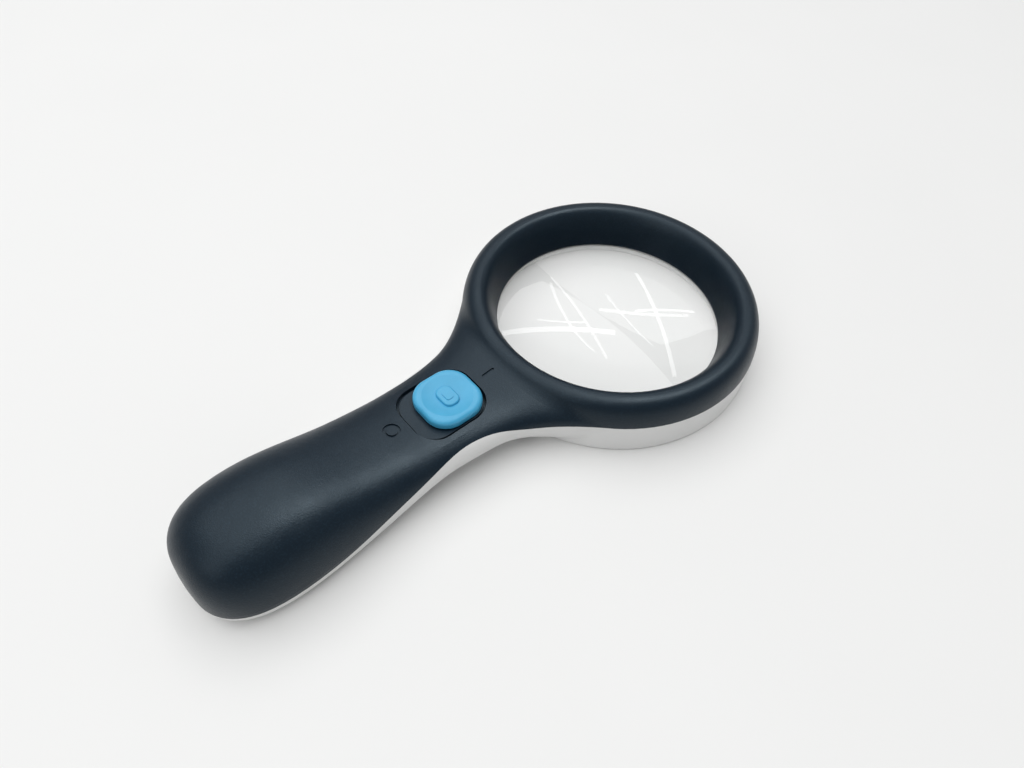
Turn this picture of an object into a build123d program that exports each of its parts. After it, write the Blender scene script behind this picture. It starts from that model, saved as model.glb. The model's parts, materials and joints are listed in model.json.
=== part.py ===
"""Illuminated hand magnifier, in millimetres.

The magnifier lies on its back. +X runs from the butt of the handle to the lens, +Y is across
the handle and +Z is up, out of the thumb switch. The origin is the centre of the footprint,
on the surface it lies on. A black upper casing and a white lower casing meet on a parting line
and clamp the lens between them. The lower casing holds a ring of lamps round the lens, and the
handle holds two cells in a tray, a slide switch and the leads.
"""

import os
from math import cos, pi, radians, sin, sqrt

from build123d import *

os.makedirs("parts", exist_ok=True)

# Overall size
LENGTH = 188.0
RING_DIA = 92.0
HEIGHT = 24.0
WALL = 2.0

# Ring and lens
RING_R = RING_DIA / 2
RING_X = LENGTH / 2 - RING_R
APERTURE_R = 35.0
CREST_R = 40.3
CREST_Z = 18.7
RING_PARTING_Z = 10.5
LIP_UNDER_Z = 6.7
LIP_TOP_Z = 7.3
SKIRT_R = 39.0
LENS_R = 37.0
LENS_EDGE_LOW_Z = 4.4
LENS_EDGE_HIGH_Z = 6.6
LENS_CURVE_R = 210.0
SEAT_R = 37.2
SEAT_WALL_R = 38.6
INNER_WALL_TOP_R = 35.5
INNER_WALL_FOOT_R = 36.2
FOOT_R = 45.9
FLOOR_Z = 1.8
CHANNEL_R = 43.7

# Handle: (x, half width, crown, height of the widest line, underside, how boxy it is below)
BUTT_X = -LENGTH / 2
BELLY_X = -70.0
BUTT_POWER = 2.8
CROWN_POWER = 3.2
FLARE_ANGLE = 48.0
FLARE_X = RING_X - RING_R * cos(radians(FLARE_ANGLE))
FLARE_Y = RING_R * sin(radians(FLARE_ANGLE))
STATIONS = [
    (BELLY_X, 18.5, HEIGHT - 0.6, 7.0, 0.0, 0.95),
    (-48.0, 16.85, 19.4, 7.8, 1.1, 0.92),
    (-26.0, 15.55, 16.1, 9.6, 3.3, 0.78),
    (-6.0, 17.6, 15.9, 10.4, 3.3, 0.86),
    (7.0, 25.0, 17.4, 10.5, 0.5, 0.93),
    (FLARE_X, FLARE_Y, 17.8, 10.5, 0.0, 0.97),
]
# Where the two casings part along the handle: (x, height)
PARTING_LINE = [
    (BUTT_X - 6, 5.6), (BELLY_X, 5.5), (-56.0, 6.5), (-44.0, 9.0), (-32.0, 11.4), (-19.5, 13.2),
    (-8.0, 12.2), (2.0, RING_PARTING_Z),
]
SECTION_XS = [
    -93.98, -93.2, -91.6, -88.5, -84.0, -77.0, BELLY_X, -59.0, -48.0,
    -37.0, -26.0, -16.0, -6.0, 1.0, 7.0, 12.0, FLARE_X,
]
TOP_FULLNESS = 0.68
SIDE_FULLNESS = 0.62
SEAM_DROP = 0.6
CREASE_FILLET_R = 6.0

# Thumb switch
RECESS_LENGTH = 23.0
RECESS_WIDTH = 19.6
RECESS_CORNER_R = 7.0
RECESS_RIGHT_X = -5.8
RECESS_FLOOR_Z = 14.5
GROOVE_WIDTH = 0.8
GROOVE_DEPTH = 0.9
FLOOR_PAD_Z = 12.5
BUTTON_LENGTH = 17.4
BUTTON_WIDTH = 17.4
BUTTON_TOP_Z = 17.4
BUTTON_GAP = 0.7
TRAVEL = RECESS_LENGTH - BUTTON_LENGTH - 2 * BUTTON_GAP
RECESS_X = RECESS_RIGHT_X - RECESS_LENGTH / 2
BUTTON_X = RECESS_RIGHT_X - BUTTON_GAP - BUTTON_LENGTH / 2
STEM_LENGTH = 6.4
STEM_WIDTH = 4.4
STEM_LOW_Z = 10.7
SLOT_CLEARANCE = 0.3
MARK_DEPTH = 0.4
ON_MARK_X = -1.0
OFF_MARK_X = -33.5

# Slide switch on its board
BOARD_LOW_Z = 6.0
BOARD_THICKNESS = 1.0
SWITCH_LENGTH = 13.0
SWITCH_WIDTH = 5.8
SWITCH_HEIGHT = 3.4
SWITCH_SKIN = 0.4
SWITCH_X = BUTTON_X - TRAVEL / 2
LEVER_LENGTH = 2.4
LEVER_WIDTH = 2.0
LEVER_TOP_Z = 13.0

# Cells (AAA) and their tray
CELL_R = 5.2
CELL_LENGTH = 43.6
NUB_R = 1.9
NUB_LENGTH = 0.9
CELL_Y = 5.4
CELL_Z = 9.1
TRAY_LEFT_X = -88.4
TRAY_RIGHT_X = -37.8
TRAY_SKIN = 0.8
TRAY_BORE_R = 5.4
TRAY_LOW_Z = 6.0
PLATE_THICKNESS = 0.4
SPRING_LENGTH = 3.5
DOOR_LEFT_X = -88.6
DOOR_RIGHT_X = -34.5
DOOR_HALF_WIDTH = 12.6
DOOR_GAP = 0.25
DOOR_SKIN = 1.7

# Lamp ring
LAMP_COUNT = 8
LAMP_PITCH_R = 41.2
LAMP_R = 1.5
LAMP_WINDOW_R = 1.7
LAMP_BOARD_LOW_Z = 5.6
LAMP_BOARD_IN_R = 39.2
LAMP_BOARD_OUT_R = 43.3

# Fasteners and leads
SCREW_PLACES = [(1.5, 14.6), (1.5, -14.6), (-29.6, 9.3), (-29.6, -9.3)]
SCREW_HEAD_R = 2.2
SCREW_HEAD_HEIGHT = 1.4
SCREW_HEAD_TOP_Z = 6.0
SCREW_SHANK_R = 1.1
SCREW_TIP_Z = 12.6
PILOT_R = 1.12
BOSS_R = 3.0
BOSS_JOIN_Z = 8.6
WIRE_R = 0.5
TAB_Z = 11.8
TAB_END_X = -36.2

TALL = 60.0
ring_plane = Plane((RING_X, 0, 0))
ring_profile_plane = Plane((RING_X, 0, 0), x_dir=(1, 0, 0), z_dir=(0, -1, 0))


def between(x, column):
    """A station value at x, joined by cubics whose slopes never overshoot the stations."""
    xs = [row[0] for row in STATIONS]
    ys = [row[column] for row in STATIONS]
    steps = [(ys[i + 1] - ys[i]) / (xs[i + 1] - xs[i]) for i in range(len(xs) - 1)]
    slopes = [0.0]
    for before, after in zip(steps, steps[1:]):
        slopes.append(2 * before * after / (before + after) if before * after > 0 else 0.0)
    slopes.append(steps[-1])
    span = next(i for i in range(len(steps)) if x <= xs[i + 1] + 1e-6)
    width = xs[span + 1] - xs[span]
    t = (x - xs[span]) / width
    return (
        ys[span] * (1 + 2 * t) * (1 - t) ** 2
        + slopes[span] * width * t * (1 - t) ** 2
        + ys[span + 1] * t * t * (3 - 2 * t)
        + slopes[span + 1] * width * t * t * (t - 1)
    )


def butt_share(x, power):
    """How far the rounded butt has opened out at x, from 0 at its end to 1 at the belly."""
    if x >= BELLY_X:
        return 1.0
    u = (BELLY_X - x) / (BELLY_X - BUTT_X)
    return max(0.0, 1 - u**power) ** (1 / power)


def half_width(x):
    return between(max(x, BELLY_X), 1) * butt_share(x, BUTT_POWER)


def girth_z(x):
    return between(min(max(x, BELLY_X), FLARE_X), 3)


def crown(x):
    belly_swell = 0.6 * sin(pi * min(1.0, max(0.0, (x + 92.0) / 44.0)))
    low = girth_z(x)
    return low + (between(max(x, BELLY_X), 2) + belly_swell - low) * butt_share(x, CROWN_POWER)


def underside(x):
    high = girth_z(x)
    return high - (high - between(max(x, BELLY_X), 4)) * butt_share(x, BUTT_POWER)


def handle_section(x, inset):
    """One cross-section of the handle, drawn in a plane whose local axes are Y and Z."""
    w = half_width(x) - inset
    mid = girth_z(x) - (SEAM_DROP if inset else 0)
    up = crown(x) - inset - mid
    down = mid - underside(x) - inset
    boxy = between(max(x, BELLY_X), 5)
    with BuildSketch(Plane.YZ.offset(x)) as section:
        with BuildLine():
            for side in (1, -1):
                Bezier(
                    (side * w, mid),
                    (side * w, mid + up * SIDE_FULLNESS),
                    (side * w * TOP_FULLNESS, mid + up),
                    (0, mid + up),
                )
                Bezier(
                    (side * w, mid),
                    (side * w * 0.985, mid - down * boxy),
                    (side * w * boxy, mid - down),
                    (0, mid - down),
                )
        make_face()
    return section.sketch


def handle_loft(inset):
    """The whole handle as a solid, or what is left of it inside a wall of that thickness."""
    stations = [x for x in SECTION_XS if x > BUTT_X + inset]
    with BuildPart() as body:
        loft([handle_section(x, inset) for x in stations])
    return body.part


def ring_turn(points):
    """A closed polyline of (radius, height) points turned about the lens axis."""
    with BuildPart() as turned:
        with BuildSketch(ring_profile_plane):
            with BuildLine():
                Polyline(*points, close=True)
            make_face()
        revolve(axis=Axis((RING_X, 0, 0), (0, 0, 1)))
    return turned.part


def ring_cylinder(radius, low, high):
    with BuildPart() as post:
        with BuildSketch(ring_plane.offset(low)):
            Circle(radius)
        extrude(amount=high - low)
    return post.part


def block(x0, x1, y0, y1, z0, z1):
    with BuildPart() as made:
        with BuildSketch(Plane.XY.offset(z0)):
            with Locations(((x0 + x1) / 2, (y0 + y1) / 2)):
                Rectangle(x1 - x0, y1 - y0)
        extrude(amount=z1 - z0)
    return made.part


def post(x, y, radius, z0, z1):
    with BuildPart() as made:
        with BuildSketch(Plane.XY.offset(z0)):
            with Locations((x, y)):
                Circle(radius)
        extrude(amount=z1 - z0)
    return made.part


def above_parting():
    """Everything over the parting surface, which rises under the thumb switch."""
    with BuildPart() as over:
        with BuildSketch(Plane.XZ.offset(-TALL)):
            with BuildLine():
                line = Spline(*PARTING_LINE, tangents=((1, 0), (1, 0)))
                Polyline(
                    line @ 1,
                    (LENGTH / 2 + 6, RING_PARTING_Z),
                    (LENGTH / 2 + 6, TALL),
                    (BUTT_X - 6, TALL),
                    line @ 0,
                )
            make_face()
        extrude(amount=2 * TALL)
    return over.part


# Shared envelopes
outer_handle = handle_loft(0)
inner_handle = handle_loft(WALL)
upper_region = above_parting()
inside_lens_wall = ring_cylinder(SKIRT_R, -1, TALL)

# Ring of the upper casing: funnel, crest and rounded shoulder
with BuildPart() as upper_ring:
    with BuildSketch(ring_profile_plane):
        with BuildLine():
            Line((APERTURE_R, LIP_UNDER_Z), (APERTURE_R, LIP_TOP_Z))
            Bezier(
                (APERTURE_R, LIP_TOP_Z),
                (APERTURE_R + 1.0, LIP_TOP_Z + 4.6),
                (CREST_R - 2.9, CREST_Z - 0.5),
                (CREST_R, CREST_Z),
            )
            Bezier(
                (CREST_R, CREST_Z),
                (CREST_R + 3.0, CREST_Z + 0.5),
                (RING_R, RING_PARTING_Z + 6.6),
                (RING_R, RING_PARTING_Z),
            )
            Polyline(
                (RING_R, RING_PARTING_Z),
                (SKIRT_R, RING_PARTING_Z),
                (SKIRT_R, LIP_UNDER_Z),
                (APERTURE_R, LIP_UNDER_Z),
            )
        make_face()
    revolve(axis=Axis((RING_X, 0, 0), (0, 0, 1)))

upper_channel = ring_turn(
    [
        (SKIRT_R, 0),
        (SKIRT_R, 13.4),
        (CREST_R + 0.2, CREST_Z - 2.4),
        (CREST_R + 1.4, CREST_Z - 2.4),
        (RING_R - 2.2, RING_PARTING_Z + 2.6),
        (RING_R - 2.2, 0),
    ]
)


lower_channel = ring_turn(
    [
        (SEAT_WALL_R, FLOOR_Z),
        (CHANNEL_R, FLOOR_Z),
        (CHANNEL_R, RING_PARTING_Z + 1),
        (SEAT_WALL_R, RING_PARTING_Z + 1),
    ]
)
handle_cavity = inner_handle - inside_lens_wall


def rounded_block(x, length, width, corner, z0, z1):
    """A rounded rectangle centred on the handle's middle line, standing from z0 to z1."""
    with BuildPart() as made:
        with BuildSketch(Plane.XY.offset(z0)):
            with Locations((x, 0)):
                RectangleRounded(length, width, corner)
        extrude(amount=z1 - z0)
    return made.part


def trough(x, length, radius, low_z):
    """The outline of two cells side by side, straight down to low_z, running along X from x."""
    with BuildPart() as made:
        with BuildSketch(Plane.YZ.offset(x)):
            with Locations((0, CELL_Z)):
                SlotCenterToCenter(2 * CELL_Y, 2 * radius)
            with Locations((0, (CELL_Z + low_z) / 2)):
                Rectangle(2 * (CELL_Y + radius), CELL_Z - low_z)
        extrude(amount=length)
    return made.part


def save(part, name):
    part.label = name
    export_step(part, f"parts/{name}.step")


# Upper casing
tray_length = TRAY_RIGHT_X - TRAY_LEFT_X
tray_relief = trough(TRAY_LEFT_X - 0.1, tray_length + 0.2, TRAY_BORE_R + TRAY_SKIN + 0.1, 0)
recess = rounded_block(
    RECESS_X, RECESS_LENGTH, RECESS_WIDTH, RECESS_CORNER_R, RECESS_FLOOR_Z, TALL
)
recess_pad = rounded_block(
    RECESS_X, RECESS_LENGTH + 3, RECESS_WIDTH + 3, RECESS_CORNER_R, FLOOR_PAD_Z, RECESS_FLOOR_Z + 1
)
pad_clearance = rounded_block(
    RECESS_X, RECESS_LENGTH + 3.2, RECESS_WIDTH + 3.2, RECESS_CORNER_R, FLOOR_PAD_Z - 0.1, TALL
)
floor_groove = rounded_block(
    RECESS_X, RECESS_LENGTH, RECESS_WIDTH, RECESS_CORNER_R, RECESS_FLOOR_Z - GROOVE_DEPTH, TALL
) - rounded_block(
    RECESS_X,
    RECESS_LENGTH - 2 * GROOVE_WIDTH,
    RECESS_WIDTH - 2 * GROOVE_WIDTH,
    RECESS_CORNER_R - GROOVE_WIDTH,
    0,
    TALL,
)

# Switch marks, cut to one depth all over: a bar for on and a ring for off
with BuildPart() as switch_marks:
    with BuildSketch(Plane.XY.offset(RECESS_FLOOR_Z)):
        with Locations((ON_MARK_X, 0)):
            SlotOverall(4.2, 0.9)
        with Locations((OFF_MARK_X, 0)):
            Circle(2.4)
            Circle(1.55, mode=Mode.SUBTRACT)
    extrude(amount=TALL)
    add(handle_loft(MARK_DEPTH), mode=Mode.SUBTRACT)

slot_length = STEM_LENGTH + TRAVEL + 2 * SLOT_CLEARANCE
slot_width = STEM_WIDTH + 2 * SLOT_CLEARANCE
with BuildPart() as top_shell:
    add(outer_handle)
    add(ring_cylinder(CREST_R, -1, TALL), mode=Mode.SUBTRACT)
    add(upper_region, mode=Mode.INTERSECT)
    add(upper_ring.part)
    ring_axis_point = Vector(RING_X, 0, 0)
    crease = [
        edge
        for edge in top_shell.edges()
        if edge.center().Z > RING_PARTING_Z + 1.5
        and edge.center().X < FLARE_X
        and CREST_R < (Vector(edge.center().X, edge.center().Y, 0) - ring_axis_point).length < RING_R + 1
    ]
    fillet(crease, CREASE_FILLET_R)
    add(handle_cavity, mode=Mode.SUBTRACT)
    add(upper_channel, mode=Mode.SUBTRACT)
    add(recess_pad & outer_handle)
    for x, y in SCREW_PLACES:
        add(post(x, y, BOSS_R, BOSS_JOIN_Z, crown(x)) & outer_handle)
        add(post(x, y, PILOT_R, BOSS_JOIN_Z - 1, SCREW_TIP_Z + 0.4), mode=Mode.SUBTRACT)
    for x in (-76.0, -52.0):
        add(post(x, 0, 1.6, CELL_Z, crown(x)) & outer_handle)
    add(tray_relief, mode=Mode.SUBTRACT)
    add(recess, mode=Mode.SUBTRACT)
    slot_x = SWITCH_X
    add(
        block(
            slot_x - slot_length / 2, slot_x + slot_length / 2, -slot_width / 2, slot_width / 2, 0, TALL
        ),
        mode=Mode.SUBTRACT,
    )
    add(floor_groove, mode=Mode.SUBTRACT)
    add(switch_marks.part, mode=Mode.SUBTRACT)
save(top_shell.part, "top_shell")

# Lower casing
with BuildPart() as lower_ring:
    with BuildSketch(ring_profile_plane):
        with BuildLine():
            Polyline(
                (FOOT_R, 0.8),
                (RING_R, RING_PARTING_Z),
                (SEAT_R, RING_PARTING_Z),
                (SEAT_R, LENS_EDGE_LOW_Z),
                (INNER_WALL_TOP_R, LENS_EDGE_LOW_Z),
                (INNER_WALL_FOOT_R, 0),
                (FOOT_R - 0.8, 0),
            )
            RadiusArc((FOOT_R - 0.8, 0), (FOOT_R, 0.8), -0.8)
        make_face()
    revolve(axis=Axis((RING_X, 0, 0), (0, 0, 1)))

with BuildPart() as bottom_shell:
    add(outer_handle)
    add(ring_cylinder(SEAT_WALL_R, -1, TALL), mode=Mode.SUBTRACT)
    add(upper_region, mode=Mode.SUBTRACT)
    add(lower_ring.part)
    add(handle_cavity, mode=Mode.SUBTRACT)
    add(lower_channel, mode=Mode.SUBTRACT)
    add(ring_cylinder(SKIRT_R, LIP_UNDER_Z, TALL), mode=Mode.SUBTRACT)
    add(pad_clearance, mode=Mode.SUBTRACT)
    for index in range(LAMP_COUNT):
        angle = 360 / LAMP_COUNT * index
        rib = block(SEAT_WALL_R - 0.2, CHANNEL_R + 0.2, -0.8, 0.8, FLOOR_Z, LAMP_BOARD_LOW_Z)
        add(Pos(RING_X, 0, 0) * Rot(0, 0, angle) * rib)
    for x, y in SCREW_PLACES:
        add(post(x, y, BOSS_R, 0, BOSS_JOIN_Z) & outer_handle)
        add(post(x, y, SCREW_HEAD_R + 0.15, -1, SCREW_HEAD_TOP_Z), mode=Mode.SUBTRACT)
        add(post(x, y, SCREW_SHANK_R + 0.2, -1, BOSS_JOIN_Z + 1), mode=Mode.SUBTRACT)
    for x in (SWITCH_X - 7.5, SWITCH_X + 7.5):
        add(block(x - 0.8, x + 0.8, -5, 5, underside(x) + 0.8, BOARD_LOW_Z))
    add(
        block(DOOR_LEFT_X, DOOR_RIGHT_X, -DOOR_HALF_WIDTH, DOOR_HALF_WIDTH, -1, TALL),
        mode=Mode.SUBTRACT,
    )
    with Locations(ring_plane):
        with PolarLocations(LAMP_PITCH_R, LAMP_COUNT, start_angle=180 / LAMP_COUNT):
            Cylinder(LAMP_WINDOW_R, 3 * FLOOR_Z, mode=Mode.SUBTRACT)
save(bottom_shell.part, "bottom_shell")

# Lens: biconvex, with a flat rim that the casings clamp
dome_r = APERTURE_R - 0.2


def sag(radius):
    return LENS_CURVE_R - sqrt(LENS_CURVE_R**2 - radius**2)


lens_top_z = LENS_EDGE_HIGH_Z + sag(dome_r)
lens_bottom_z = LENS_EDGE_LOW_Z - sag(dome_r)
with BuildPart() as main_lens:
    with BuildSketch(ring_profile_plane):
        with BuildLine():
            ThreePointArc(
                (0, lens_top_z),
                (dome_r / 2, lens_top_z - sag(dome_r / 2)),
                (dome_r, LENS_EDGE_HIGH_Z),
            )
            Polyline(
                (dome_r, LENS_EDGE_HIGH_Z),
                (LENS_R, LENS_EDGE_HIGH_Z),
                (LENS_R, LENS_EDGE_LOW_Z),
                (dome_r, LENS_EDGE_LOW_Z),
            )
            ThreePointArc(
                (dome_r, LENS_EDGE_LOW_Z),
                (dome_r / 2, lens_bottom_z + sag(dome_r / 2)),
                (0, lens_bottom_z),
            )
            Line((0, lens_bottom_z), (0, lens_top_z))
        make_face()
    revolve(axis=Axis((RING_X, 0, 0), (0, 0, 1)))
save(main_lens.part, "main_lens")

# Thumb button: dished cap with a raised grip, on a stem that takes the switch lever
button_low_z = RECESS_FLOOR_Z + 0.15
dish_r = 30.0
dish_depth = 0.85
with BuildPart() as slide_button:
    with BuildSketch(Plane.XY.offset(button_low_z)):
        with Locations((BUTTON_X, 0)):
            RectangleRounded(BUTTON_LENGTH, BUTTON_WIDTH, 6.6)
    extrude(amount=BUTTON_TOP_Z - button_low_z)
    fillet(slide_button.edges().group_by(Axis.Z)[-1], 1.3)
    fillet(slide_button.edges().group_by(Axis.Z)[0], 0.4)
    with Locations((BUTTON_X, 0, BUTTON_TOP_Z - dish_depth + dish_r)):
        Sphere(dish_r, mode=Mode.SUBTRACT)
    with BuildSketch(Plane.XY.offset(BUTTON_TOP_Z - 1.2)):
        with Locations((BUTTON_X, 0)):
            RectangleRounded(4.9, 7.0, 2.1)
    extrude(amount=1.25)
    fillet(slide_button.faces().sort_by(Axis.Z)[-1].edges(), 0.45)
    with BuildSketch(Plane.XY.offset(BUTTON_TOP_Z)):
        with Locations((BUTTON_X, 0)):
            RectangleRounded(2.2, 3.2, 0.6)
    extrude(amount=0.25)
    with BuildSketch(Plane.XY.offset(STEM_LOW_Z)):
        with Locations((BUTTON_X, 0)):
            Rectangle(STEM_LENGTH, STEM_WIDTH)
            Rectangle(LEVER_LENGTH + 0.2, LEVER_WIDTH + 0.2, mode=Mode.SUBTRACT)
    extrude(amount=LEVER_TOP_Z + 0.2 - STEM_LOW_Z)
    with BuildSketch(Plane.XY.offset(LEVER_TOP_Z + 0.2)):
        with Locations((BUTTON_X, 0)):
            Rectangle(STEM_LENGTH, STEM_WIDTH)
    extrude(amount=button_low_z + 0.5 - LEVER_TOP_Z - 0.2)
save(slide_button.part, "slide_button")

# Keeper: snaps on the stem under the casing so the button can't lift out
KEEPER_LOW_Z = 11.2
with BuildPart() as button_keeper:
    with BuildSketch(Plane.XY.offset(KEEPER_LOW_Z)):
        with Locations((BUTTON_X, 0)):
            RectangleRounded(13.0, 9.0, 1.5)
            Rectangle(STEM_LENGTH, STEM_WIDTH, mode=Mode.SUBTRACT)
    extrude(amount=1.0)
save(button_keeper.part, "button_keeper")

# Slide switch: metal frame, phenolic base, three terminals and the moving lever
can_low_z = BOARD_LOW_Z + BOARD_THICKNESS
can_top_z = can_low_z + SWITCH_HEIGHT
base_top_z = can_low_z + 0.8
inner_length = SWITCH_LENGTH - 2 * SWITCH_SKIN
inner_width = SWITCH_WIDTH - 2 * SWITCH_SKIN
TERMINAL_PITCH = 4.2
TERMINAL_R = 0.4
with BuildPart() as switch_frame:
    add(
        block(
            SWITCH_X - SWITCH_LENGTH / 2, SWITCH_X + SWITCH_LENGTH / 2,
            -SWITCH_WIDTH / 2, SWITCH_WIDTH / 2, can_low_z, can_top_z,
        )
    )
    fillet(switch_frame.edges().group_by(Axis.Z)[-1], 0.35)
    add(
        block(
            SWITCH_X - inner_length / 2, SWITCH_X + inner_length / 2,
            -inner_width / 2, inner_width / 2, can_low_z, can_top_z - SWITCH_SKIN,
        ),
        mode=Mode.SUBTRACT,
    )
    window = LEVER_LENGTH + TRAVEL + 0.4
    add(
        block(SWITCH_X - window / 2, SWITCH_X + window / 2, -1.15, 1.15, can_low_z, TALL),
        mode=Mode.SUBTRACT,
    )
save(switch_frame.part, "switch_frame")

terminal_places = [(SWITCH_X + step * TERMINAL_PITCH, 0) for step in (-1, 0, 1)]
with BuildPart() as switch_base:
    with BuildSketch(Plane.XY.offset(can_low_z)):
        with Locations((SWITCH_X, 0)):
            Rectangle(inner_length, inner_width)
        with Locations(*terminal_places):
            Circle(TERMINAL_R, mode=Mode.SUBTRACT)
    extrude(amount=base_top_z - can_low_z)
save(switch_base.part, "switch_base")

with BuildPart() as switch_terminals:
    with BuildSketch(Plane.XY.offset(BOARD_LOW_Z - 0.4)):
        with Locations(*terminal_places):
            Circle(TERMINAL_R)
    extrude(amount=base_top_z + 0.4 - BOARD_LOW_Z + 0.4)
save(switch_terminals.part, "switch_terminals")

lever_base_z = base_top_z + 0.6
with BuildPart() as switch_lever:
    add(
        block(BUTTON_X - 3.0, BUTTON_X + 3.0, -2.2, 2.2, lever_base_z, can_top_z - SWITCH_SKIN - 0.1)
    )
    add(
        block(
            BUTTON_X - LEVER_LENGTH / 2, BUTTON_X + LEVER_LENGTH / 2,
            -LEVER_WIDTH / 2, LEVER_WIDTH / 2, lever_base_z, LEVER_TOP_Z,
        )
    )
save(switch_lever.part, "switch_lever")

BOARD_LENGTH = 22.0
BOARD_WIDTH = 11.0
with BuildPart() as switch_board:
    with BuildSketch(Plane.XY.offset(BOARD_LOW_Z)):
        with Locations((SWITCH_X, 0)):
            RectangleRounded(BOARD_LENGTH, BOARD_WIDTH, 1.0)
        with Locations(*terminal_places):
            Circle(TERMINAL_R + 0.1, mode=Mode.SUBTRACT)
    extrude(amount=BOARD_THICKNESS)
save(switch_board.part, "switch_board")

with BuildPart() as board_resistors:
    for y in (-4.1, 4.1):
        for x in (SWITCH_X - 2.5, SWITCH_X + 2.5):
            add(block(x - 1.0, x + 1.0, y - 0.6, y + 0.6, can_low_z, can_low_z + 0.5))
save(board_resistors.part, "board_resistors")

# Lamp ring: one annular board with lamps that look down through the floor of the ring
lamp_angles = [360 / LAMP_COUNT * (index + 0.5) for index in range(LAMP_COUNT)]
LEAD_R = 0.25
LEAD_STEP = 0.9
with BuildPart() as led_board:
    with BuildSketch(ring_plane.offset(LAMP_BOARD_LOW_Z)):
        Circle(LAMP_BOARD_OUT_R)
        Circle(LAMP_BOARD_IN_R, mode=Mode.SUBTRACT)
        for side in (-LEAD_STEP, LEAD_STEP):
            with PolarLocations(LAMP_PITCH_R + side, LAMP_COUNT, start_angle=lamp_angles[0]):
                Circle(LEAD_R + 0.05, mode=Mode.SUBTRACT)
    extrude(amount=1.0)
save(led_board.part, "led_board")

LAMP_TIP_Z = 0.3
lamp_shoulder_z = LAMP_TIP_Z + LAMP_R
LAMP_FLANGE_Z = 4.4
with BuildPart() as one_lamp:
    with BuildSketch(Plane.XZ):
        with BuildLine():
            RadiusArc((0, LAMP_TIP_Z), (LAMP_R, lamp_shoulder_z), -LAMP_R)
            Polyline(
                (LAMP_R, lamp_shoulder_z),
                (LAMP_R, LAMP_FLANGE_Z),
                (LAMP_R + 0.4, LAMP_FLANGE_Z),
                (LAMP_R + 0.4, LAMP_FLANGE_Z + 1),
                (0, LAMP_FLANGE_Z + 1),
                (0, LAMP_TIP_Z),
            )
        make_face()
    revolve(axis=Axis.Z)
    with BuildSketch(Plane.XY.offset(LAMP_FLANGE_Z + 1)):
        with Locations((-LEAD_STEP, 0), (LEAD_STEP, 0)):
            Circle(LEAD_R)
    extrude(amount=2.0)
led_lamps = Compound(
    [
        Pos(RING_X, 0, 0) * Rot(0, 0, angle) * Pos(LAMP_PITCH_R, 0, 0) * one_lamp.part
        for angle in lamp_angles
    ]
)
save(led_lamps, "led_lamps")


# Battery tray: a closed top over two cells, open to the door, with a wall at each end
with BuildPart() as battery_tray:
    add(trough(TRAY_LEFT_X, tray_length, TRAY_BORE_R + TRAY_SKIN, TRAY_LOW_Z))
    bay = trough(TRAY_LEFT_X + TRAY_SKIN, tray_length - 2 * TRAY_SKIN, TRAY_BORE_R, 0)
    add(bay, mode=Mode.SUBTRACT)
    add(block(TRAY_LEFT_X, TRAY_RIGHT_X, -TALL, TALL, -TALL, TRAY_LOW_Z), mode=Mode.SUBTRACT)
    for y in (-CELL_Y, CELL_Y):
        add(
            block(TRAY_RIGHT_X - 2, TRAY_RIGHT_X + 1, y - 1.1, y + 1.1, TAB_Z - 0.3, TAB_Z + 0.3),
            mode=Mode.SUBTRACT,
        )
save(battery_tray.part, "battery_tray")

bay_left_x = TRAY_LEFT_X + TRAY_SKIN
bay_right_x = TRAY_RIGHT_X - TRAY_SKIN


def cell(nub_end_x, direction, y):
    """An AAA cell whose positive nub ends at nub_end_x and points along X by direction."""
    crimp_r = 0.5
    with BuildPart() as made:
        with BuildSketch(Plane.YZ.offset(nub_end_x)):
            with Locations((y, CELL_Z)):
                Circle(NUB_R)
        extrude(amount=-direction * NUB_LENGTH)
        with BuildSketch(Plane.YZ.offset(nub_end_x - direction * NUB_LENGTH)):
            with Locations((y, CELL_Z)):
                Circle(CELL_R)
        extrude(amount=-direction * CELL_LENGTH)
        rims = made.edges().filter_by(GeomType.CIRCLE).filter_by(lambda e: e.radius > CELL_R - 0.01)
        fillet(rims, crimp_r)
    return made.part


cell_near = cell(bay_right_x - PLATE_THICKNESS, 1, -CELL_Y)
cell_far = cell(bay_left_x + PLATE_THICKNESS, -1, CELL_Y)
save(cell_near, "battery_cell_near")
save(cell_far, "battery_cell_far")


def contact(x, y, width):
    """A contact plate with its inner corners rounded, lying against a tray wall from x on."""
    with BuildPart() as made:
        with BuildSketch(Plane.YZ.offset(x)):
            with Locations((y, CELL_Z)):
                RectangleRounded(width, 8.0, 1.0)
        extrude(amount=PLATE_THICKNESS)
    return made.part


save(contact(bay_left_x, 0, 19.0), "bridge_contact")
for y, name in ((-CELL_Y, "positive_contact"), (CELL_Y, "negative_contact")):
    with BuildPart() as plate:
        add(contact(bay_right_x - PLATE_THICKNESS, y, 8.0))
        add(block(bay_right_x - PLATE_THICKNESS, TAB_END_X, y - 1, y + 1, TAB_Z - 0.2, TAB_Z + 0.2))
    save(plate.part, name)

SPRING_WIRE_R = 0.25
SPRING_COIL_R = 2.6
spring_turns = 3
spring_rise = SPRING_LENGTH - 2 * SPRING_WIRE_R


def contact_spring(x, y):
    with BuildPart() as made:
        with BuildLine() as coil:
            Helix(
                spring_rise / spring_turns, spring_rise, SPRING_COIL_R,
                center=(x + SPRING_WIRE_R, y, CELL_Z), direction=(1, 0, 0),
            )
        with BuildSketch(Plane(origin=coil.line @ 0, z_dir=coil.line % 0)):
            Circle(SPRING_WIRE_R)
        sweep(path=coil.line)
    return made.part


contact_springs = Compound(
    [
        contact_spring(bay_left_x + PLATE_THICKNESS, -CELL_Y),
        contact_spring(bay_right_x - PLATE_THICKNESS - SPRING_LENGTH, CELL_Y),
    ]
)
save(contact_springs, "contact_springs")

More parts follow.
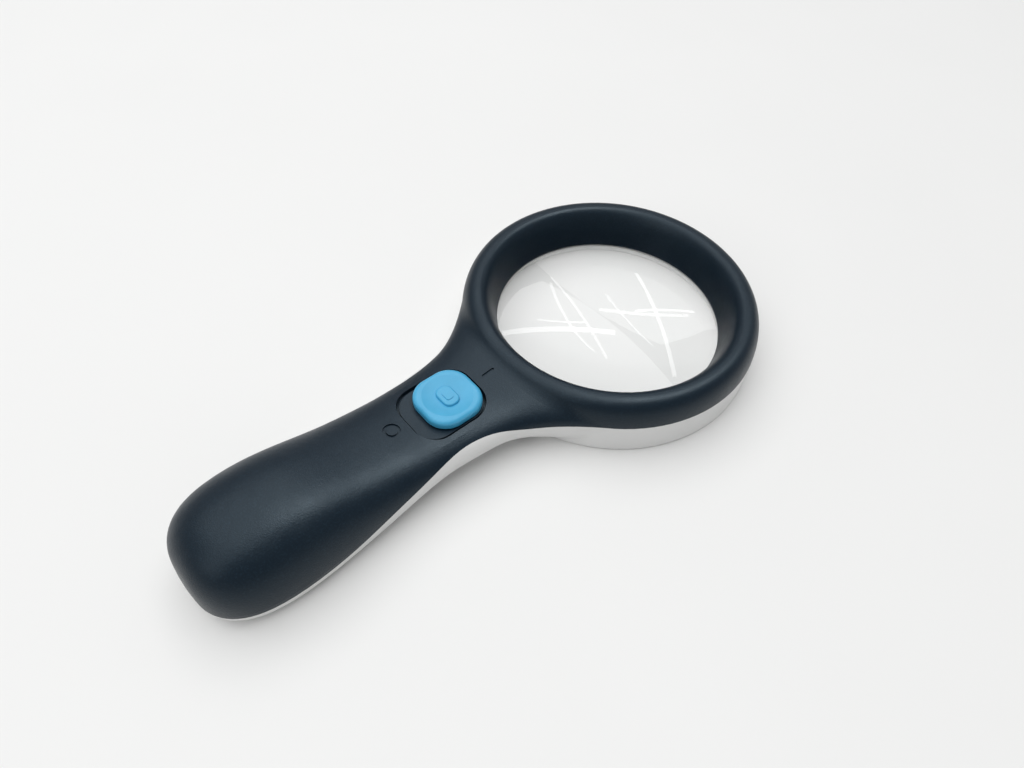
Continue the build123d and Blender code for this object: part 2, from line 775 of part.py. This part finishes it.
# Battery door: a piece of the lower skin that tips open about two tongues at the neck end
door_x0 = DOOR_LEFT_X + DOOR_GAP
door_x1 = DOOR_RIGHT_X - DOOR_GAP
door_y = DOOR_HALF_WIDTH - DOOR_GAP
DOOR_TOP_Z = 5.2
TONGUE_Z = 5.95
with BuildPart() as battery_door:
    add(outer_handle & block(door_x0, door_x1, -door_y, door_y, -1, DOOR_TOP_Z))
    add(handle_loft(DOOR_SKIN), mode=Mode.SUBTRACT)
    for y in (-6.5, 6.5):
        add(block(door_x1 - 1.4, door_x1 - 0.1, y - 2, y + 2, underside(door_x1) + 1, TONGUE_Z + 0.9))
        add(block(door_x1 - 1.4, door_x1 + 1.7, y - 2, y + 2, TONGUE_Z, TONGUE_Z + 0.9))
    for y in (-5.2, 5.2):
        add(block(door_x0 - 1, door_x0 + 8, y - 0.3, y + 0.3, -1, TALL), mode=Mode.SUBTRACT)
    for x in (-84.5, -82.5, -80.5):
        add(block(x - 0.4, x + 0.4, -4, 4, -1, underside(x) + 0.45), mode=Mode.SUBTRACT)
save(battery_door.part, "battery_door")

# Casing screws: pan heads with a cross recess, driven up from the underside
with BuildPart() as one_screw:
    with BuildSketch(Plane.XY.offset(SCREW_HEAD_TOP_Z - SCREW_HEAD_HEIGHT)):
        Circle(SCREW_HEAD_R)
    extrude(amount=SCREW_HEAD_HEIGHT)
    fillet(one_screw.edges().group_by(Axis.Z)[0], 0.5)
    with BuildSketch(Plane.XY.offset(SCREW_HEAD_TOP_Z)):
        Circle(SCREW_SHANK_R)
    extrude(amount=SCREW_TIP_Z - SCREW_HEAD_TOP_Z)
    chamfer(one_screw.edges().group_by(Axis.Z)[-1], 0.6)
    with BuildSketch(Plane.XY.offset(SCREW_HEAD_TOP_Z - SCREW_HEAD_HEIGHT)):
        Rectangle(2.5, 0.6)
        Rectangle(0.6, 2.5)
    extrude(amount=0.8, mode=Mode.SUBTRACT)
casing_screws = Compound([Pos(x, y, 0) * one_screw.part for x, y in SCREW_PLACES])
save(casing_screws, "casing_screws")


# Leads, from solder joint to solder joint
def lead(points, bend_r, name):
    with BuildPart() as made:
        with BuildLine() as path:
            FilletPolyline(*points, radius=bend_r)
        with BuildSketch(Plane(origin=path.line @ 0, z_dir=path.line % 0)):
            Circle(WIRE_R)
        sweep(path=path.line)
    save(made.part, name)


solder_z = can_low_z
lamp_board_top_z = LAMP_BOARD_LOW_Z + 1.0
LAMP_JOINT_X = 7.3
tab_x = TAB_END_X
lead(
    [
        (tab_x, -CELL_Y, TAB_Z), (-33.6, -CELL_Y, TAB_Z), (-30.0, -4.4, 9.6),
        (-27.2, -3.6, 9.4), (-27.2, -3.6, solder_z),
    ],
    1.0, "lead_battery_positive",
)
lead(
    [
        (tab_x, CELL_Y, TAB_Z), (-33.2, CELL_Y, TAB_Z), (-29.0, 5.0, 9.0), (-23.5, 7.4, 8.6),
        (-8.0, 7.6, 8.4), (0.0, 6.8, 8.4), (LAMP_JOINT_X, 4.0, 9.2), (LAMP_JOINT_X, 4.0, lamp_board_top_z),
    ],
    1.0, "lead_battery_negative",
)
lead(
    [
        (-8.6, -3.6, solder_z), (-8.6, -3.6, 9.0), (-4.0, -4.6, 8.8), (2.0, -5.2, 8.6),
        (LAMP_JOINT_X, -4.0, 9.2), (LAMP_JOINT_X, -4.0, lamp_board_top_z),
    ],
    1.0, "lead_switch_to_lamps",
)
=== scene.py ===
import json
import math

import bpy
from mathutils import Matrix, Vector

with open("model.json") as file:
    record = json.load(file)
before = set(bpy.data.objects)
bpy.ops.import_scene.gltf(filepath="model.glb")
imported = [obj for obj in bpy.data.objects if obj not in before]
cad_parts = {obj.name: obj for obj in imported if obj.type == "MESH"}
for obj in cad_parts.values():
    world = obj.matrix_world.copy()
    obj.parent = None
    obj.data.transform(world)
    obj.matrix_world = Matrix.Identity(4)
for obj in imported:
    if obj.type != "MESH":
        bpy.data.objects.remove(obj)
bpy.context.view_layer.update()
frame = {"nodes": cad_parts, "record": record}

nodes = frame["nodes"]
MM = 0.001
FLOOR_SIZE = 6
FLOOR_Z = -0.0001
CEILING = 1.7
LENS_CENTRE = (0.048, 0, 0)
SENSOR_WIDTH = 36
CAMERA_CLIP = 0.01


# ---------------------------------------------------------------- materials
def linear(*srgb):
    """Linear colour from 0-255 display values."""
    steps = [c / 255 for c in srgb]
    return tuple(s / 12.92 if s <= 0.04045 else ((s + 0.055) / 1.055) ** 2.4 for s in steps) + (1,)


class Finish:
    """A Principled material built up from object-space noise, one layer at a time."""

    def __init__(self, name, colour, roughness, **sockets):
        self.name = name
        self.material = bpy.data.materials.new(name + "_finish")
        self.material.use_nodes = True
        self.tree = self.material.node_tree
        self.shader = self.tree.nodes["Principled BSDF"]
        self.colour = colour
        self.roughness = roughness
        self.shader.inputs["Base Color"].default_value = colour
        self.shader.inputs["Roughness"].default_value = roughness
        for socket, value in sockets.items():
            self.shader.inputs[socket.replace("_", " ")].default_value = value
        self.coordinates = self.tree.nodes.new("ShaderNodeTexCoord").outputs["Object"]

    def noise(self, size_mm, detail=2.0, stretch=(1, 1, 1)):
        mapping = self.tree.nodes.new("ShaderNodeMapping")
        mapping.inputs["Scale"].default_value = stretch
        self.tree.links.new(self.coordinates, mapping.inputs["Vector"])
        texture = self.tree.nodes.new("ShaderNodeTexNoise")
        texture.inputs["Scale"].default_value = 1 / (size_mm * MM)
        texture.inputs["Detail"].default_value = detail
        self.tree.links.new(mapping.outputs["Vector"], texture.inputs["Vector"])
        return texture.outputs["Fac"]

    def remap(self, value, low, high, to_low, to_high):
        node = self.tree.nodes.new("ShaderNodeMapRange")
        for socket, number in zip(
            ("From Min", "From Max", "To Min", "To Max"), (low, high, to_low, to_high)
        ):
            node.inputs[socket].default_value = number
        self.tree.links.new(value, node.inputs["Value"])
        return node.outputs["Result"]

    def vary_roughness(self, size_mm, spread, detail=3.0):
        value = self.remap(
            self.noise(size_mm, detail), 0.3, 0.7, self.roughness - spread, self.roughness + spread
        )
        self.tree.links.new(value, self.shader.inputs["Roughness"])
        return self

    def vary_colour(self, size_mm, other, low=0.35, high=0.65, detail=3.0, stretch=(1, 1, 1)):
        mix = self.tree.nodes.new("ShaderNodeMix")
        mix.data_type = "RGBA"
        mix.inputs["A"].default_value = self.colour
        mix.inputs["B"].default_value = other
        factor = self.remap(self.noise(size_mm, detail, stretch), low, high, 0, 1)
        self.tree.links.new(factor, mix.inputs["Factor"])
        self.tree.links.new(mix.outputs["Result"], self.shader.inputs["Base Color"])
        return self

    def bump(self, size_mm, depth_mm, detail=2.0, stretch=(1, 1, 1)):
        node = self.tree.nodes.new("ShaderNodeBump")
        node.inputs["Distance"].default_value = depth_mm * MM
        self.tree.links.new(self.noise(size_mm, detail, stretch), node.inputs["Height"])
        if self.shader.inputs["Normal"].is_linked:
            below = self.shader.inputs["Normal"].links[0].from_socket
            self.tree.links.new(below, node.inputs["Normal"])
        self.tree.links.new(node.outputs["Normal"], self.shader.inputs["Normal"])
        return self


black = Finish(
    "soft_touch_black", linear(2, 16, 28), 0.37,
    Specular_IOR_Level=0.36, Specular_Tint=(0.74, 0.9, 1.0, 1),
)
black.vary_roughness(7.0, 0.04).vary_colour(0.45, linear(12, 28, 40), 0.5, 0.7, 4.0)
black.bump(0.32, 0.06, 3.0).bump(1.4, 0.015)

white = Finish("white_casing", linear(224, 224, 223), 0.34, Specular_IOR_Level=0.5)
white.vary_roughness(6.0, 0.05).vary_colour(14.0, linear(220, 220, 219)).bump(0.5, 0.004)

blue = Finish("button_blue", linear(66, 164, 206), 0.33, Specular_IOR_Level=0.5, Subsurface_Weight=0.08)
blue.shader.inputs["Subsurface Radius"].default_value = (0.0006, 0.0012, 0.0016)
blue.vary_roughness(2.4, 0.04).vary_colour(5.0, linear(72, 170, 212)).bump(0.4, 0.003)

inner_black = Finish("inner_black_plastic", linear(30, 30, 32), 0.5)
inner_black.vary_roughness(2.0, 0.06).vary_colour(1.2, linear(38, 38, 40)).bump(0.3, 0.008)

steel = Finish("spring_steel", linear(196, 197, 194), 0.3, Metallic=1.0)
steel.vary_roughness(0.8, 0.1).vary_colour(1.5, linear(168, 167, 162)).bump(0.25, 0.003, 2.0, (1, 8, 1))

brass = Finish("contact_brass", linear(214, 190, 132), 0.32, Metallic=1.0)
brass.vary_roughness(0.7, 0.1).vary_colour(1.3, linear(190, 160, 104)).bump(0.3, 0.004)

board = Finish("board_green", linear(26, 92, 56), 0.3, Coat_Weight=0.4)
board.vary_roughness(1.2, 0.06).vary_colour(0.7, linear(20, 78, 46)).bump(0.4, 0.004, 1.0, (1, 6, 1))

resistor = Finish("resistor_black", linear(34, 34, 36), 0.4)
resistor.vary_roughness(0.4, 0.08).vary_colour(0.5, linear(52, 52, 54)).bump(0.2, 0.004)

epoxy = Finish("lamp_epoxy", linear(246, 240, 205), 0.1, IOR=1.52, Transmission_Weight=0.35)
epoxy.vary_roughness(0.6, 0.04).vary_colour(1.0, linear(250, 226, 150)).bump(0.5, 0.004)

wrap = Finish("cell_wrap", linear(38, 52, 78), 0.28, Coat_Weight=0.5)
wrap.vary_roughness(2.0, 0.05).vary_colour(6.0, linear(48, 64, 92)).bump(0.9, 0.01)

zinc = Finish("screw_steel", linear(168, 170, 174), 0.34, Metallic=1.0)
zinc.vary_roughness(0.5, 0.1).vary_colour(0.9, linear(142, 144, 150)).bump(0.2, 0.004)

red_wire = Finish("wire_red", linear(186, 30, 28), 0.38)
red_wire.vary_roughness(0.8, 0.05).vary_colour(1.4, linear(168, 24, 24)).bump(0.3, 0.004)

black_wire = Finish("wire_black", linear(28, 28, 30), 0.38)
black_wire.vary_roughness(0.8, 0.05).vary_colour(1.4, linear(40, 40, 42)).bump(0.3, 0.004)

phenolic = Finish("phenolic_brown", linear(118, 78, 46), 0.5)
phenolic.vary_roughness(0.8, 0.06).vary_colour(0.6, linear(96, 62, 38)).bump(0.3, 0.006)


def lens_material():
    """Clear acrylic with a faint haze. Shadow rays and diffuse rays pass straight through it."""
    clear = Finish("lens_acrylic", (1, 1, 1, 1), 0.004, IOR=1.49, Transmission_Weight=1.0)
    clear.vary_roughness(14.0, 0.003).vary_colour(20.0, (0.985, 0.995, 0.99, 1))
    tree = clear.tree
    open_shader = tree.nodes.new("ShaderNodeBsdfTransparent")
    mix = tree.nodes.new("ShaderNodeMixShader")
    path = tree.nodes.new("ShaderNodeLightPath")
    either = tree.nodes.new("ShaderNodeMath")
    either.operation = "MAXIMUM"
    tree.links.new(path.outputs["Is Shadow Ray"], either.inputs[0])
    tree.links.new(path.outputs["Is Diffuse Ray"], either.inputs[1])
    tree.links.new(either.outputs["Value"], mix.inputs["Fac"])
    tree.links.new(clear.shader.outputs["BSDF"], mix.inputs[1])
    tree.links.new(open_shader.outputs["BSDF"], mix.inputs[2])
    tree.links.new(mix.outputs["Shader"], tree.nodes["Material Output"].inputs["Surface"])
    return clear


finishes = {
    f.name: f.material
    for f in (
        black, white, blue, inner_black, steel, brass, board, resistor, epoxy, wrap, zinc,
        red_wire, black_wire, phenolic, lens_material(),
    )
}
for part in frame["record"]["subparts"]:
    node = nodes[part["node"]]
    node.data.materials.clear()
    node.data.materials.append(finishes[part["material_slot"]])


# ---------------------------------------------------------------- floor
bpy.ops.mesh.primitive_plane_add(size=FLOOR_SIZE, location=(0, 0, FLOOR_Z))
floor = bpy.context.object
floor.name = "floor"
paper = Finish("floor_paper", linear(236, 236, 235), 0.55, Specular_IOR_Level=0.25)
paper.vary_roughness(40.0, 0.04).vary_colour(120.0, linear(235, 235, 234)).bump(1.5, 0.004)
floor.data.materials.append(paper.material)


# ---------------------------------------------------------------- light
def panel(name, place, aim, size, power, colour=(1, 1, 1)):
    data = bpy.data.lights.new(name, "AREA")
    data.shape = "RECTANGLE"
    data.size, data.size_y = size
    data.energy = power
    data.color = colour
    lamp = bpy.data.objects.new(name, data)
    lamp.location = place
    lamp.rotation_mode = "QUATERNION"
    lamp.rotation_quaternion = (Vector(aim) - Vector(place)).to_track_quat("-Z", "Y")
    bpy.context.scene.collection.objects.link(lamp)
    return lamp


def tube(name, start, end, width, power):
    """A ceiling tube from start to end that shines down at the lens."""
    start, end = Vector(start), Vector(end)
    along = (end - start).normalized()
    middle = (start + end) / 2
    away = middle - Vector(LENS_CENTRE)
    away = (away - along * away.dot(along)).normalized()
    lamp = panel(name, middle, (0, 0, 0), ((end - start).length, width), power)
    lamp.rotation_quaternion = Matrix((along, away.cross(along), away)).transposed().to_quaternion()
    return lamp


panel("soft_above", (0.0, 0.45, CEILING), (0, 0, 0), (2.4, 2.4), 31)
panel("soft_left", (-1.2, -0.1, 0.9), (0, 0, 0), (0.8, 0.8), 2.5)
# A strip along the handle that only the black casing receives, so that the lens stays clear of it
streak = panel("handle_streak", (0.76, -0.09, 1.6), (-0.04, 0, 0), (0.14, 0.9), 10)
black_casing = bpy.data.collections.new("black_casing")
black_casing.objects.link(nodes["top_shell"])
streak.light_linking.receiver_collection = black_casing
# Ceiling tubes: they give the lens its thin curved reflections
tube("tube_left", (1.59, 1.97, CEILING), (0.89, 0.57, CEILING), 0.022, 0.3)
tube("tube_right", (2.93, 2.06, CEILING), (1.23, 0.16, CEILING), 0.035, 0.9)
tube("tube_cross", (0.56, 1.39, CEILING), (1.19, 0.76, CEILING), 0.06, 0.55)
tube("tube_short", (1.64, 0.93, CEILING), (2.43, 0.70, CEILING), 0.03, 0.35)

world = bpy.data.worlds.new("studio")
bpy.context.scene.world = world
world.use_nodes = True
sky = world.node_tree.nodes["Background"]
sky.inputs["Color"].default_value = (0.98, 0.99, 1.0, 1)
sky.inputs["Strength"].default_value = 0.39
bpy.context.scene.view_settings.view_transform = "Standard"


# ---------------------------------------------------------------- camera
AZIMUTH = math.radians(-43.1)
ELEVATION = math.radians(51.16)
ROLL = math.radians(-3.57)
DISTANCE = 0.2324
TARGET = Vector((0.01057, 0.00224, 0))
FOCAL_LENGTH = 26.8

back = Vector(
    (
        math.sin(AZIMUTH) * math.cos(ELEVATION),
        -math.cos(AZIMUTH) * math.cos(ELEVATION),
        math.sin(ELEVATION),
    )
)
level_right = Vector((math.cos(AZIMUTH), math.sin(AZIMUTH), 0))
level_up = back.cross(level_right)
right = math.cos(ROLL) * level_right - math.sin(ROLL) * level_up
up = math.sin(ROLL) * level_right + math.cos(ROLL) * level_up
camera_data = bpy.data.cameras.new("camera")
camera_data.sensor_width = SENSOR_WIDTH
camera_data.lens = FOCAL_LENGTH
camera_data.clip_start = CAMERA_CLIP
camera = bpy.data.objects.new("camera", camera_data)
turn = Matrix((right, up, back)).transposed().to_4x4()
camera.matrix_world = Matrix.Translation(TARGET + back * DISTANCE) @ turn
bpy.context.scene.collection.objects.link(camera)
bpy.context.scene.camera = camera
